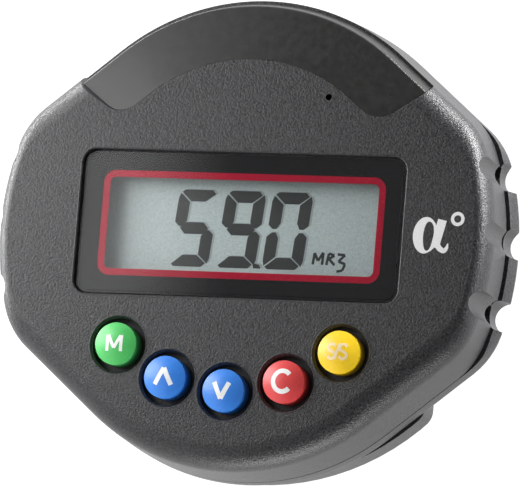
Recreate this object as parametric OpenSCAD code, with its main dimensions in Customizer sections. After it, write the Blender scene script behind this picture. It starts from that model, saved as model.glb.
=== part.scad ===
// Torque angle gauge: a palm-sized battery instrument that clings to a wrench
// by its magnetic foot and shows the angle turned. It lies on its foot, face up:
// +X runs to the right of the face, +Y to its top and +Z out of it.
// The origin is under the middle of the case, on the plane of the foot.

/* [Case] */
// Width across the side grips
body_w = 79.8; // [78:0.2:88]
// Height of the face, from the bottom edge to the top edge
body_h = 74; // [73:0.2:80]
// Depth from the foot to the face
body_d = 20.5; // [20.4:0.1:24]
// Radius of the round top edge
top_r = 35.5; // [34:0.5:38]
// Radius of the round bottom edge
bottom_r = 34.5; // [32:0.5:37]
// Slope of the straight shoulders, in degrees
shoulder_a = 40; // [38:0.5:42]
// Radius of the bulging side grips
side_r = 45; // [42:1:60]
// Radius of the corners between shoulders and grips
corner_r = 12; // [8:0.5:14]
// Wall thickness of both shells
wall = 2.2; // [1.9:0.1:2.5]
// Depth of the front shell, from the face to the parting line
front_d = 11.6; // [11.4:0.1:12]
// Open joint between the two shells
seam_gap = 0.3; // [0.15:0.05:0.5]
// Height of the rounding between face and wall
edge_h = 4.1; // [3:0.1:5]
// Width of that rounding at the top, bottom and shoulders
edge_w = 4.2; // [3:0.1:5]
// Width of that rounding along the side grips
edge_side_w = 2.4; // [1.6:0.1:3]
// Outward lean of the front wall, from the rounding to the parting line
flare = 0.5; // [0.2:0.05:0.8]
// Reach of the rear shell beyond the front's outline
rear_over = 0.6; // [0.3:0.05:0.8]
// Reach of the rear shell beyond the front's outline along the grips
grip_over = 1; // [0.5:0.05:1.2]
// Rounding of the rear shell's back edge
back_edge = 2.4; // [1.5:0.1:3]

/* [Side grips] */
// Heights of the three finger notches in each side
notch_y = [11.8, 1.4, -9.9]; // [-12:0.1:14]
// Depth of each notch
notch_deep = [1, 0.9, 1.4]; // [0.6:0.1:1.6]
// Radius of the notches
notch_r = 2.3; // [1.8:0.1:3]
// Width of the shadow groove along the grips
groove_w = 1.1; // [0.6:0.1:1.4]
// Depth of the shadow groove
groove_deep = 1.1; // [0.6:0.1:1.2]

/* [Signal window] */
// Width of the smooth band along the top edge
band_w = 10; // [9:0.1:11]
// Inset of the foot of the band's outer side from the wall below it
band_in = 0.45; // [0.3:0.05:0.6]
// Inset of the band's outer edge from that wall
band_edge = 1.35; // [1.2:0.05:1.5]
// Drop of the sloping band from the face to its outer edge
band_drop = 1.6; // [1.4:0.1:1.9]
// Thickness of the band
band_t = 2; // [1.6:0.1:2.2]
// Rounding of the band's outer edge
band_round = 0.4; // [0.2:0.1:0.6]
// Depth of the band's outer side below the face
band_skirt = 4.4; // [4.3:0.1:5]
// Slant of the band's ends, in degrees
band_end_a = 32.5; // [30:0.5:36]
// Height on the centre line that both slanted ends point at
band_apex_y = 4.3; // [3.5:0.1:6]
// Radius of the band's inner corners
band_tip_r = 4; // [3:0.1:5]

/* [Display] */
// Distance of the window recess from each side of the case
window_side = 13.5; // [13:0.1:14]
// Distance of the window recess from the top of the case
window_top = 24.5; // [24:0.1:25]
// Distance of the window recess from the bottom of the case
window_bottom = 26.3; // [26:0.1:26.8]
// Corner radius of the window recess
window_r = 2.4; // [1.5:0.1:3]
// Thickness of the clear lens
lens_t = 1; // [0.8:0.1:1.2]
// How far the lens lies below the face
lens_drop = 0.4; // [0.2:0.1:0.6]
// Gap round the lens
lens_gap = 0.5; // [0.3:0.05:0.7]
// Bevel round the lens
lens_bevel = 0.35; // [0.1:0.05:0.5]
// Inset of the view from the window recess, across and up
view_in = [4.65, 4.4]; // [4:0.05:5.2]
// Width of the coloured line
line_w = 1.05; // [0.6:0.05:1.3]
// Inset of the display glass from the window recess, across and up
lcd_in = [1.4, 0.9]; // [0.8:0.1:2]
// Thickness of the display glass
lcd_t = 2.1; // [1.8:0.1:2.4]

/* [Keys] */
// Diameter of the coloured caps
key_d = 6.6; // [6:0.1:7]
// Diameter of the wells that the caps stand in
well_d = 8.5; // [8.2:0.1:8.8]
// Height of the caps above the face
key_stand = 2; // [1.2:0.1:2.6]
// Travel of a key
key_travel = 0.6; // [0.4:0.1:0.8]
// Radius of the arc that the keys lie on
key_row_r = 27.7; // [27.5:0.1:28.5]
// Distance of the middle key from the bottom of the case
key_edge = 12; // [11.6:0.1:12.4]
// Angle from one key to the next
key_step = 20.2; // [19.9:0.1:20.6]

/* [Electronics] */
// Reach of the main board beyond the window recess, on each side
board_side = 0.8; // [0.2:0.1:1]
// Thickness of the main board
board_t = 1.6; // [1:0.1:1.7]
// Height of the contact strips between display and board
strip_h = 2.6; // [2.4:0.1:2.8]
// Diameter of the sounder
sounder_d = 9; // [7:0.1:9.4]
// Height of the sounder
sounder_h = 3; // [2:0.1:3.4]
// Distance of the sounder and its hole from the centre line
sounder_x = 12.8; // [12:0.1:13.2]
// Distance of the sounder and its hole from the top of the case
sounder_top = 15.7; // [15.4:0.1:16]
// Diameter of the sound hole
sound_hole_d = 1; // [0.6:0.1:1.6]

/* [Foot and battery] */
// Height of the foot behind the case
foot_h = 4; // [3.4:0.1:4.2]
// Distance of the foot from each side of the case
foot_side = 12.3; // [11:0.1:12.8]
// Radius of the foot's bottom edge
foot_r = 39; // [38:0.5:40]
// Upper end of the foot
foot_top = 18; // [17:0.5:22]
// Radius of the foot's corners
foot_corner = 3; // [2:0.5:4]
// Diameter of the coin cell
cell_d = 20; // [19:0.1:20.4]
// Thickness of the coin cell
cell_t = 3.2; // [2.5:0.1:3.2]
// Diameter of the battery cap
cap_d = 30; // [29.4:0.1:30.6]
// Turn that frees the battery cap, in degrees
cap_turn = 45; // [40:1:60]
// Height of the battery cap's middle
cap_y = -6; // [-7:0.5:-5]
// Diameter of the magnets
magnet_d = 10; // [8:0.1:10.4]
// Thickness of the magnets
magnet_t = 3; // [2:0.1:3.2]
// Distance of the magnets from the side of the foot
magnet_in = 7.6; // [7.2:0.1:8]
// Height of the lower and of the upper pair of magnets
magnet_y = [-18, 9]; // [-19:0.5:10]

/* [Screws] */
// Diameter of the case screws
case_screw_d = 2.4; // [2:0.1:2.6]
// Distance of the case screws from the side of the case
case_screw_in = 9.6; // [9.4:0.1:10]
// Heights of the lower and of the upper pair of case screws
case_screw_y = [-10.5, 13]; // [-11:0.5:13.5]
// Diameter of the board screws
board_screw_d = 1.6; // [1.2:0.1:1.8]
// Distance of the lower and of the upper pair of board screws from the board's sides
board_screw_in = [2.2, 2.7]; // [2:0.1:3]
// Distance of these pairs from the bottom and from the top of the case
board_screw_end = [23, 21.8]; // [21.6:0.1:23.4]

/* [Hidden] */
$fn = 96;

// Clearances and small steps
slip = 0.1;
turn_gap = 0.3;
thread_gap = 0.03;
cut = 1;
flush_step = 0.06;
sink = 0.2;

// Levels, all counted from the foot up
z_face = body_d;
z_seam = body_d - front_d;
z_ceiling = z_face - wall;
film_t = 0.1;
z_ledge = z_face - lens_drop - lens_t - film_t;
ledge_t = 1.8;
gasket_t = 1.1;
z_lcd = z_ledge - ledge_t - gasket_t - lcd_t;
z_board = z_lcd - strip_h;
z_under = z_board - board_t;
part_h = 1.2;

// Case outline
top_cy = body_h / 2 - top_r;
side_cx = body_w / 2 - side_r;
side_wall = wall + 0.6;
grip_tuck = 0.2;
rear_step = 0.3;

// Display
window_w = body_w - 2 * window_side;
window_h = body_h - window_top - window_bottom;
window_y = (window_bottom - window_top) / 2;
view_w = window_w - 2 * view_in[0];
view_h = window_h - 2 * view_in[1];
lcd_w = window_w - 2 * lcd_in[0];
lcd_h = window_h - 2 * lcd_in[1];
rim_w = 1.5;
frame_w = 1.2;
opening_w = view_w + 2 * line_w + rim_w;
opening_h = view_h + 2 * line_w + rim_w;
view_r = 0.9;
holder_t = 1.1;

// Keys
key_count = 5;
key_row_y = key_row_r + key_edge - body_h / 2;
key_at = [for (i = [0 : key_count - 1])
    let (a = -90 + (i - (key_count - 1) / 2) * key_step)
    [key_row_r * cos(a), key_row_y + key_row_r * sin(a)]];
flange_d = well_d + 0.7;
flange_t = 1;
spigot_d = 3.6;
stem_d = 4.8;
cap_floor = 0.2;
pad_t = 0.05;
mat_t = 0.8;
web_t = 0.6;

// Signal window: its profile is drawn with the case outline's radius as x
band_lip = 0.02;
band_slope = (band_drop - band_lip) / (band_w - band_edge);
band_fit = 0.04;
band_lean = 0.4;
band_foot = band_edge + 1.6;
band_floor = 1.5;
led_row_r = top_r - 6.5;
led_hole_d = 3.4;
led_spread = 39;
led_at = [for (a = [-led_spread, 0, led_spread]) [led_row_r * sin(a), top_cy + led_row_r * cos(a)]];

// Board
board_w = window_w + 2 * board_side;
sounder_at = [sounder_x, body_h / 2 - sounder_top];
chip_at = [-14, body_h / 2 - 17];
gyro_y = body_h / 2 - 15;
small_at = [8, body_h / 2 - 20];

// Foot
foot_w = body_w - 2 * foot_side;
foot_low = 0.2;
magnet_x = foot_w / 2 - magnet_in;

// Battery chamber, from the foot up
cap_sink = 0.3;
cap_t = 1.7;
z_cap = cap_sink + cap_t;
z_cell = z_cap + cell_t;
neck_wall = 1.7;
cell_room = 0.6;
neck_r = cell_d / 2 + cell_room + neck_wall;
neck_h = 2;
lug_t = 0.8;
lug_reach = 1.2;
lug_span = 28;
lug_count = 3;
lug_start = 20;
lug_gap = 0.2;
entry_gap = 3;
cell_gap = 0.2;
leaf_t = 0.3;
leaf_rise = 1.6;
z_chamber = z_cell + leaf_rise;
z_chamber_top = z_chamber + 1;
seat_gap = 0.2;
seal_d = 0.8;
seal_r = cap_d / 2 - 0.75;
tab_w = 4;
tab_in = 0.5;
negative_x = -cell_d / 4 - 2;
cup_wall = 2;
magnet_wall = 1.5;
magnet_roof = 1.2;

// Screws
case_screw_at = [for (y = case_screw_y, m = [-1, 1]) [m * (body_w / 2 - case_screw_in), y]];
case_post_r = 2.8;
case_head_d = 4.4;
case_head_t = 1.6;
board_post_r = 2;
board_head_d = 3.4;
board_head_t = 1;
board_screw_y = [board_screw_end[0] - body_h / 2, body_h / 2 - board_screw_end[1]];
board_holes = [for (i = [0, 1], m = [-1, 1]) [m * (board_w / 2 - board_screw_in[i]), board_screw_y[i]]];
case_screw_grip = 4;
board_screw_grip = 3.6;
bore_spare = 0.5;
head_gap = 0.2;
shank_gap = 0.15;

// Outline of the case as points, inset by d, and by s along the side grips

function turn_list(v) = [for (i = [len(v) - 1 : -1 : 0]) v[i]];

function arc(c, r, a0, a1, n) = [for (i = [0 : n]) let (a = a0 + (a1 - a0) * i / n) c + r * [cos(a), sin(a)]];

// Centre of the corner arc of radius q between a shoulder and a grip
function corner_centre(r, d, s, q) =
    let (n = [sin(shoulder_a), cos(shoulder_a)],
        t = [cos(shoulder_a), -sin(shoulder_a)],
        e = n * ((body_h / 2 - r) * n[1] + r - d - q) - [side_cx, 0],
        rho = side_r - s - q,
        w = -e * t + sqrt((e * t) * (e * t) - e * e + rho * rho))
    e + t * w + [side_cx, 0];

function corner_angle(c) = atan2(c[1], c[0] - side_cx);

function corner_q(d, s) = max(corner_r - max(d, s), 0.8);

// From the middle of the top edge round one shoulder to the start of the grip
function quarter(r, d, s, fine) =
    let (q = corner_q(d, s), c = corner_centre(r, d, s, q))
    concat(arc([0, body_h / 2 - r], r - d, 90, 90 - shoulder_a, 10 * fine),
        arc(c, q, 90 - shoulder_a, corner_angle(c), 3 * fine));

function grip(d, s, fine) =
    let (q = corner_q(d, s),
        a0 = corner_angle(corner_centre(top_r, d, s, q)),
        a1 = -corner_angle(corner_centre(bottom_r, d, s, q)),
        p = arc([side_cx, 0], side_r - s, a0, a1, 7 * fine))
    [for (i = [1 : len(p) - 2]) p[i]];

function half_ring(d, s, fine) = concat(quarter(top_r, d, s, fine), grip(d, s, fine),
    [for (p = turn_list(quarter(bottom_r, d, s, fine))) [p[0], -p[1]]]);

function ring(d, s, fine) =
    let (h = half_ring(d, s, fine), m = len(h) - 2)
    concat(h, [for (i = [m : -1 : 1]) [-h[i][0], h[i][1]]]);

// Case outline, inset by d, and by s along the side grips
module outline(d = 0, s = 0) {
    polygon(ring(d, s, 1));
}

// A closed skin over sections with equal counts of points, each section turning
// clockwise as seen from the end of the list
module loft(sections) {
    points = [for (p = sections) each p];
    n = len(sections[0]);
    last = len(points) - n;
    sides = [for (k = [0 : len(sections) - 2], i = [0 : n - 1])
        let (a = k * n + i, b = k * n + (i + 1) % n)
        each [[a, b, b + n], [a, b + n, a + n]]];
    lids = [[for (i = [n - 1 : -1 : 0]) i], [for (i = [0 : n - 1]) last + i]];
    polyhedron(points, concat(lids, sides));
}

// A shell's outer skin through levels given as [height, inset, inset along the grips]
module skin(levels) {
    loft([for (l = levels) [for (p = ring(l[1], l[2], 2)) [p[0], p[1], l[0]]]]);
}

module rounded_box_plan(w, h, r) {
    square([w - 2 * r, h], center = true);
    square([w, h - 2 * r], center = true);
    for (x = [-1, 1], y = [-1, 1])
        translate([x * (w / 2 - r), y * (h / 2 - r)]) circle(r);
}

// A flat frame between two rounded outlines
module frame_plan(w, h, r, w_in, h_in, r_in) {
    difference() {
        rounded_box_plan(w, h, r);
        rounded_box_plan(w_in, h_in, r_in);
    }
}

function side_x(y) = side_cx + sqrt(side_r * side_r - y * y);

// The finger notches, cut through both shells
module side_notches() {
    for (i = [0 : len(notch_y) - 1], m = [-1, 1])
        translate([m * (side_x(notch_y[i]) - notch_deep[i] + notch_r), notch_y[i], -cut])
            cylinder(r = notch_r, h = body_d + 2 * cut);
}

// Dark pockets where the joint meets the outer notches
module seam_pockets() {
    for (i = [0, len(notch_y) - 1], m = [-1, 1])
        translate([m * (side_x(notch_y[i]) - notch_deep[i] - groove_deep), notch_y[i], z_seam])
            rotate([0, m * 90, 0]) cylinder(r = groove_w + 0.4, h = 5);
}

// Signal window

// A profile of [distance inside the outline, height] points, carried along the top edge
module band_sweep(profile) {
    run = 18;
    t = [cos(shoulder_a), -sin(shoulder_a)];
    stations = concat([-shoulder_a], [for (i = [-20 : 20]) shoulder_a * i / 20], [shoulder_a]);
    loft([for (k = [0 : len(stations) - 1])
        let (a = stations[k],
            n = [sin(a), cos(a)],
            ahead = k == 0 ? [-t[0], t[1]] * run : k == len(stations) - 1 ? t * run : [0, 0])
        [for (p = profile) let (q = [0, top_cy] + n * (top_r - p[0]) + ahead) [q[0], q[1], p[1]]]]);
}

// Level of the sloping band at the distance u inside the case outline
function band_z(u) = z_face - band_lip - band_slope * (band_w - u);

// Ends and inner corners of the band in plan, grown by g
function band_points(g) =
    let (far = body_w + body_h,
        d1 = [cos(band_end_a), sin(band_end_a)],
        d2 = [-cos(shoulder_a), sin(shoulder_a)],
        n = [sin(shoulder_a), cos(shoulder_a)],
        apex = [0, band_apex_y - g / cos(band_end_a)],
        tip = apex + d1 * (top_r - band_w - g - (apex[1] - top_cy) * n[1]) / (d1 * n),
        r = band_tip_r + g,
        c = tip + (d1 + d2) / norm(d1 + d2) * r / sin(acos(d1 * d2) / 2),
        right = concat([apex + far * d1], arc(c, r, band_end_a - 90, -90 - shoulder_a, 10)))
    concat([[0, far]], right, [apex], [for (p = turn_list(right)) [-p[0], p[1]]]);

// Block that gives the band its ends, which lean so that they open upwards
module band_block(g) {
    loft([for (z = [z_face - band_skirt - cut, z_face + cut])
        [for (p = band_points(g - band_lean * (z_face - z))) [p[0], p[1], z]]]);
}

// Sloping top, round outer edge and leaning outer side of the band
function band_profile() =
    let (edge = [band_edge, band_z(band_edge)],
        low = z_face - band_skirt,
        a0 = 90 + atan(band_slope),
        a1 = 180 - atan((band_edge - band_in) / (edge[1] - low)),
        m = (a0 + a1) / 2,
        c = edge - [cos(m), sin(m)] * band_round / cos((a1 - a0) / 2),
        k = band_t * sqrt(1 + band_slope * band_slope))
    concat([[band_w, band_z(band_w)]], arc(c, band_round, a0, a1, 5),
        [[band_in, low], [band_foot, low], [band_foot, band_z(band_foot) - k], [band_w, band_z(band_w) - k]]);

// Space below the line that is t under the band, from u to v inside the outline
function band_space(u, v, t, low, top) =
    let (k = t * sqrt(1 + band_slope * band_slope))
    [[v, top], [-2, top], [-2, low], [u, low], [u, band_z(u) - k], [v, band_z(v) - k]];

// Space that the band fills in the front shell, with its gap
module band_recess() {
    intersection() {
        band_sweep(band_space(band_foot + slip, band_w + band_fit, band_t + slip,
            z_face - band_skirt, z_face + 2 * cut));
        band_block(band_fit);
    }
}

// Wall that stays behind the band, inside the front shell
module band_backing() {
    intersection() {
        band_sweep(band_space(band_foot + band_floor, band_w + band_floor, band_t + slip + band_floor,
            z_face - band_skirt - band_floor, z_face));
        linear_extrude(z_face) polygon(band_points(band_floor));
    }
}

module signal_window() {
    color("#3a3a39")
    intersection() {
        band_sweep(band_profile());
        band_block(0);
    }
}

// Case

module front_skin() {
    steps = 8;
    skin(concat([[z_seam, -flare, grip_tuck]],
        [for (i = [0 : steps]) let (a = 90 * i / steps)
            [z_face - edge_h * (1 - sin(a)), edge_w * (1 - cos(a)), edge_side_w * (1 - cos(a))]]));
}

module front_cavity() {
    difference() {
        translate([0, 0, z_seam - cut]) linear_extrude(z_ceiling - z_seam + cut) outline(wall, side_wall);
        band_backing();
    }
}

module key_well() {
    bevel = 0.4;
    translate([0, 0, z_ceiling - cut]) cylinder(d = well_d, h = wall + 2 * cut);
    translate([0, 0, z_face - bevel]) cylinder(d1 = well_d, d2 = well_d + 2 * bevel + 0.2, h = bevel + 0.1);
}

module front_shell() {
    color("#4d4d4f")
    difference() {
        union() {
            difference() {
                front_skin();
                front_cavity();
            }
            translate([0, window_y, z_ledge - ledge_t])
                linear_extrude(z_ceiling - z_ledge + ledge_t + slip)
                    rounded_box_plan(window_w + 2 * frame_w, window_h + 2 * frame_w, window_r);
            for (p = case_screw_at)
                translate([p[0], p[1], z_seam]) cylinder(r = case_post_r, h = z_ceiling - z_seam + slip);
            for (p = board_holes)
                translate([p[0], p[1], z_board]) cylinder(r = board_post_r, h = z_ceiling - z_board + slip);
        }
        translate([0, window_y, z_ledge]) linear_extrude(z_face - z_ledge + cut)
            rounded_box_plan(window_w, window_h, window_r);
        translate([0, window_y, z_ledge - ledge_t - cut]) linear_extrude(ledge_t + 2 * cut)
            rounded_box_plan(opening_w, opening_h, view_r);
        for (p = key_at) translate([p[0], p[1], 0]) key_well();
        translate([sounder_at[0], sounder_at[1], z_ceiling - cut])
            cylinder(d = sound_hole_d, h = wall + 2 * cut);
        band_recess();
        for (p = led_at) translate([p[0], p[1], z_board]) cylinder(d = led_hole_d, h = z_face - z_board);
        side_notches();
        seam_pockets();
        translate([0, 0, z_seam - cut]) linear_extrude(groove_w + cut) intersection() {
            difference() {
                square([body_w + 4, body_h], center = true);
                outline(0, groove_deep);
            }
            translate([-body_w, notch_y[2]]) square([2 * body_w, notch_y[0] - notch_y[2]]);
        }
        for (p = case_screw_at)
            translate([p[0], p[1], z_seam - cut])
                cylinder(d = case_screw_d + 2 * thread_gap,
                    h = cut + z_board - z_seam + case_screw_grip + bore_spare);
        for (p = board_holes)
            translate([p[0], p[1], z_board - cut])
                cylinder(d = board_screw_d + 2 * thread_gap, h = cut + board_screw_grip + bore_spare);
    }
}

// Foot outline with round corners, inset by d
module foot_plan(d) {
    offset(r = foot_corner) offset(delta = -foot_corner - d) intersection() {
        translate([0, foot_r + foot_low - body_h / 2]) circle(foot_r);
        translate([-foot_w / 2, -body_h]) square([foot_w, body_h + foot_top]);
    }
}

module rear_skin() {
    steps = 5;
    rim = foot_h + back_edge;
    skin(concat(
        [for (i = [steps : -1 : 0]) let (a = 90 * i / steps, d = back_edge * (1 - cos(a)))
            [rim - back_edge * sin(a), d - rear_over, d - grip_over]],
        [[z_seam - seam_gap, -flare, rear_step - grip_over]]));
}

module foot_skin() {
    foot_edge = 0.6;
    hull() {
        linear_extrude(0.05) foot_plan(foot_edge);
        translate([0, 0, foot_edge]) linear_extrude(foot_h + foot_edge) foot_plan(0);
    }
}

module chamber_cuts() {
    translate([0, cap_y, 0]) {
        translate([0, 0, -cut]) cylinder(d = cap_d + 2 * turn_gap, h = cut + z_cap + seat_gap);
        translate([0, 0, z_cap]) cylinder(r = neck_r + turn_gap, h = neck_h + turn_gap);
        translate([0, 0, z_cap + neck_h - lug_t - slip])
            cylinder(r = neck_r + lug_reach + lug_gap, h = lug_t + 2 * slip);
        translate([0, 0, z_cap]) linear_extrude(neck_h)
            for (i = [0 : lug_count - 1]) rotate(lug_start + i * 360 / lug_count - cap_turn - entry_gap)
                band_arc(neck_r - cut, neck_r + lug_reach + lug_gap - flush_step, lug_span + 2 * entry_gap);
        translate([0, 0, z_cap + neck_h]) cylinder(d = cell_d + 2 * cell_gap, h = z_chamber - z_cap - neck_h);
        translate([cell_d / 2 - tab_in, -tab_w / 2 - slip, z_cap + neck_h])
            cube([leaf_t + tab_in + 2 * slip, tab_w + 2 * slip, z_under - z_cap]);
        translate([negative_x - leaf_t / 2 - slip, -tab_w / 2 - slip, z_cap + neck_h])
            cube([leaf_t + 2 * slip, tab_w + 2 * slip, z_under - z_cap]);
    }
}

module rear_shell() {
    lip_h = 1.3;
    lip_t = 1.2;
    color("#59595b")
    difference() {
        union() {
            difference() {
                union() {
                    rear_skin();
                    foot_skin();
                }
                translate([0, 0, foot_h + wall]) linear_extrude(z_seam) outline(wall, side_wall);
                translate([0, 0, wall]) linear_extrude(foot_h + cut) foot_plan(wall);
            }
            translate([0, 0, foot_h + wall]) linear_extrude(z_seam - foot_h - wall + lip_h) difference() {
                outline(wall + slip, side_wall + slip);
                outline(wall + slip + lip_t, side_wall + slip + lip_t);
            }
            translate([0, 0, foot_h + wall - slip]) linear_extrude(slip) difference() {
                outline(wall - slip, side_wall - slip);
                outline(wall + slip + lip_t, side_wall + slip + lip_t);
            }
            translate([0, cap_y, sink]) cylinder(d = cap_d + 2 * cup_wall, h = z_chamber_top - sink);
            for (x = [-1, 1], y = magnet_y)
                translate([x * magnet_x, y, sink])
                    cylinder(d = magnet_d + 2 * magnet_wall, h = magnet_t + sink + magnet_roof);
            for (p = case_screw_at)
                translate([p[0], p[1], foot_h + sink]) cylinder(r = case_post_r, h = z_seam - foot_h - sink);
        }
        chamber_cuts();
        for (x = [-1, 1], y = magnet_y)
            translate([x * magnet_x, y, -cut]) cylinder(d = magnet_d + slip, h = cut + magnet_t + sink);
        for (p = case_screw_at) translate([p[0], p[1], 0]) {
            translate([0, 0, foot_h - cut])
                cylinder(d = case_head_d + 2 * head_gap, h = cut + case_head_t + sink);
            cylinder(d = case_screw_d + 2 * shank_gap, h = z_seam + cut);
        }
        side_notches();
        seam_pockets();
    }
}

// Display

module display_lens() {
    w = window_w - 2 * lens_gap;
    h = window_h - 2 * lens_gap;
    color("#c8d0d4", 0.35)
    translate([0, window_y, z_ledge + film_t]) {
        linear_extrude(lens_t - lens_bevel) rounded_box_plan(w, h, window_r - lens_gap);
        translate([0, 0, lens_t - lens_bevel]) linear_extrude(lens_bevel)
            rounded_box_plan(w - 2 * lens_bevel, h - 2 * lens_bevel, window_r - lens_gap - lens_bevel);
    }
}

module film(w, h, r, w_in, h_in, r_in) {
    translate([0, window_y, z_ledge]) linear_extrude(film_t) frame_plan(w, h, r, w_in, h_in, r_in);
}

module lens_mask() {
    color("#161618")
    film(window_w - 2 * lens_gap, window_h - 2 * lens_gap, window_r - lens_gap,
        view_w + 2 * line_w, view_h + 2 * line_w, view_r + line_w);
}

module coloured_line() {
    color("#a80f22")
    film(view_w + 2 * line_w, view_h + 2 * line_w, view_r + line_w, view_w, view_h, view_r);
}

module display_gasket() {
    color("#2a2a2a")
    translate([0, window_y, z_lcd + lcd_t]) linear_extrude(gasket_t)
        frame_plan(lcd_w, lcd_h, view_r, opening_w, opening_h, view_r);
}

module lcd_panel() {
    color("#b4bcb4")
    translate([-lcd_w / 2, window_y - lcd_h / 2, z_lcd]) cube([lcd_w, lcd_h, lcd_t]);
}

module lcd_reflector() {
    reflector_t = 0.3;
    strip_room = 6;
    side_room = 2;
    color("#e6e8e2")
    translate([side_room - lcd_w / 2, window_y - (lcd_h - strip_room) / 2, z_lcd - reflector_t])
        cube([lcd_w - 2 * side_room, lcd_h - strip_room, reflector_t]);
}

module lcd_holder() {
    color("#d8d8d2")
    translate([0, window_y, z_board]) linear_extrude(strip_h + lcd_t) difference() {
        square([lcd_w + 2 * slip + 2 * holder_t, lcd_h + 2 * slip + 2 * holder_t], center = true);
        square([lcd_w + 2 * slip, lcd_h + 2 * slip], center = true);
    }
}

module contact_strips() {
    strip_w = 2;
    color("#8a5f6e")
    for (m = [-1, 1])
        translate([0, window_y + m * (lcd_h / 2 - strip_w / 2 - 0.3), z_board + strip_h / 2])
            cube([lcd_w - 4, strip_w, strip_h], center = true);
}

// Electronics

module main_board() {
    color("#1f5c3a")
    translate([0, 0, z_under]) linear_extrude(board_t) difference() {
        intersection() {
            outline(wall + 2, side_wall + 2);
            square([board_w, body_h], center = true);
        }
        for (p = board_holes) translate(p) circle(d = board_screw_d + 2 * head_gap);
    }
}

module microcontroller() {
    chip = 10;
    color("#1c1c1e")
    translate([chip_at[0], chip_at[1], z_under - part_h / 2]) {
        cube([chip, chip, part_h], center = true);
        for (a = [0 : 90 : 270], i = [-3.5 : 3.5])
            rotate(a) translate([chip / 2 + 0.5, i, part_h / 2 - 0.1]) cube([1, 0.4, 0.2], center = true);
    }
}

module gyro_sensor() {
    color("#252528")
    translate([0, gyro_y, z_under - part_h / 2]) cube([4, 4, part_h], center = true);
}

module sounder() {
    color("#202022")
    translate([sounder_at[0], sounder_at[1], z_board]) difference() {
        cylinder(d = sounder_d, h = sounder_h);
        translate([0, 0, sounder_h - 1]) cylinder(d = 1.6, h = 1 + cut);
    }
}

module board_components() {
    color("#b39a6b")
    for (i = [0 : 3], j = [0 : 1])
        translate([small_at[0] + i * 3.2, small_at[1] + j * 4, z_under - 0.4])
            cube([1.6, 0.8, 0.8], center = true);
}

module signal_leds() {
    color("#e8e4c8")
    for (p = led_at) translate([p[0], p[1], z_board]) {
        translate([-1.4, -0.8, 0]) cube([2.8, 1.6, 0.6]);
        cylinder(d = 1.5, h = 1.1);
    }
}

module key_contacts() {
    color("#caa64a")
    for (p = key_at) translate([p[0], p[1], z_board]) linear_extrude(pad_t) difference() {
        circle(d = stem_d - 0.4);
        square([0.4, stem_d], center = true);
    }
}

module board_screws() {
    color("#9a9c9e")
    for (p = board_holes) translate([p[0], p[1], z_under]) {
        difference() {
            translate([0, 0, -board_head_t]) cylinder(d = board_head_d, h = board_head_t);
            for (a = [0, 90]) rotate(a) translate([-1, -0.2, -board_head_t - cut]) cube([2, 0.4, cut + 0.5]);
        }
        cylinder(d = board_screw_d, h = board_t + board_screw_grip);
    }
}

// Keys

module key_cap(i, tone) {
    h = z_face + key_stand - z_ceiling - cap_floor;
    edge = 0.6;
    crown = 7;
    color(tone)
    translate([key_at[i][0], key_at[i][1], z_ceiling + cap_floor]) difference() {
        intersection() {
            rotate_extrude() {
                square([key_d / 2 - edge, h]);
                square([key_d / 2, h - edge]);
                translate([key_d / 2 - edge, h - edge]) circle(edge);
            }
            translate([0, 0, h - crown]) sphere(crown);
        }
        translate([0, 0, -cut]) cylinder(d = spigot_d + 0.1, h = cut + 1.2);
    }
}

module key_plunger(i) {
    color("#18181a")
    translate([key_at[i][0], key_at[i][1], 0]) {
        tip = z_board + pad_t + key_travel + 0.05;
        translate([0, 0, tip]) cylinder(d = stem_d, h = z_ceiling - flange_t - tip);
        translate([0, 0, z_ceiling - flange_t]) cylinder(d = flange_d, h = flange_t);
        translate([0, 0, z_ceiling]) cylinder(d = key_d - 0.6, h = cap_floor);
        translate([0, 0, z_ceiling]) cylinder(d = spigot_d, h = cap_floor + 1.1);
    }
}

module memory_cap() key_cap(0, "#3fa24f");
module up_cap() key_cap(1, "#2f6fd0");
module down_cap() key_cap(2, "#2f6fd0");
module clear_cap() key_cap(3, "#c93a3c");
module start_cap() key_cap(4, "#f4c81c");
module memory_plunger() key_plunger(0);
module up_plunger() key_plunger(1);
module down_plunger() key_plunger(2);
module clear_plunger() key_plunger(3);
module start_plunger() key_plunger(4);

// One silicone sheet on the board, with a cone under each plunger's flange
module keypad_mat() {
    reach = flange_d / 2 + 0.4;
    span = (key_count - 1) * key_step + 2 * atan(reach / key_row_r);
    web_r = stem_d / 2 + 0.4;
    foot_r = flange_d / 2 - 0.1;
    z_web = z_ceiling - flange_t;
    limit = window_y - lcd_h / 2 - slip - holder_t - 0.4;
    color("#1b1b1d") {
        translate([0, 0, z_board]) linear_extrude(mat_t) intersection() {
            difference() {
                translate([0, key_row_y]) rotate(-90 - span / 2)
                    band_arc(key_row_r - reach, key_row_r + reach, span);
                for (p = key_at) translate(p) circle(foot_r - web_t);
            }
            translate([-body_w / 2, limit - body_h]) square([body_w, body_h]);
        }
        for (p = key_at) translate([p[0], p[1], 0]) rotate_extrude()
            polygon([[foot_r - web_t, z_board + mat_t / 2], [foot_r, z_board + mat_t / 2],
                [foot_r, z_board + mat_t], [web_r + web_t, z_web], [web_r, z_web],
                [foot_r - web_t, z_board + mat_t]]);
    }
}

// A flat ring sector from the x axis on
module band_arc(r0, r1, span) {
    far = 2 * r1;
    intersection() {
        difference() {
            circle(r1);
            circle(r0);
        }
        polygon([[0, 0], [far, 0], far * [cos(span / 2), sin(span / 2)], far * [cos(span), sin(span)]]);
    }
}

// Back

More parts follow.
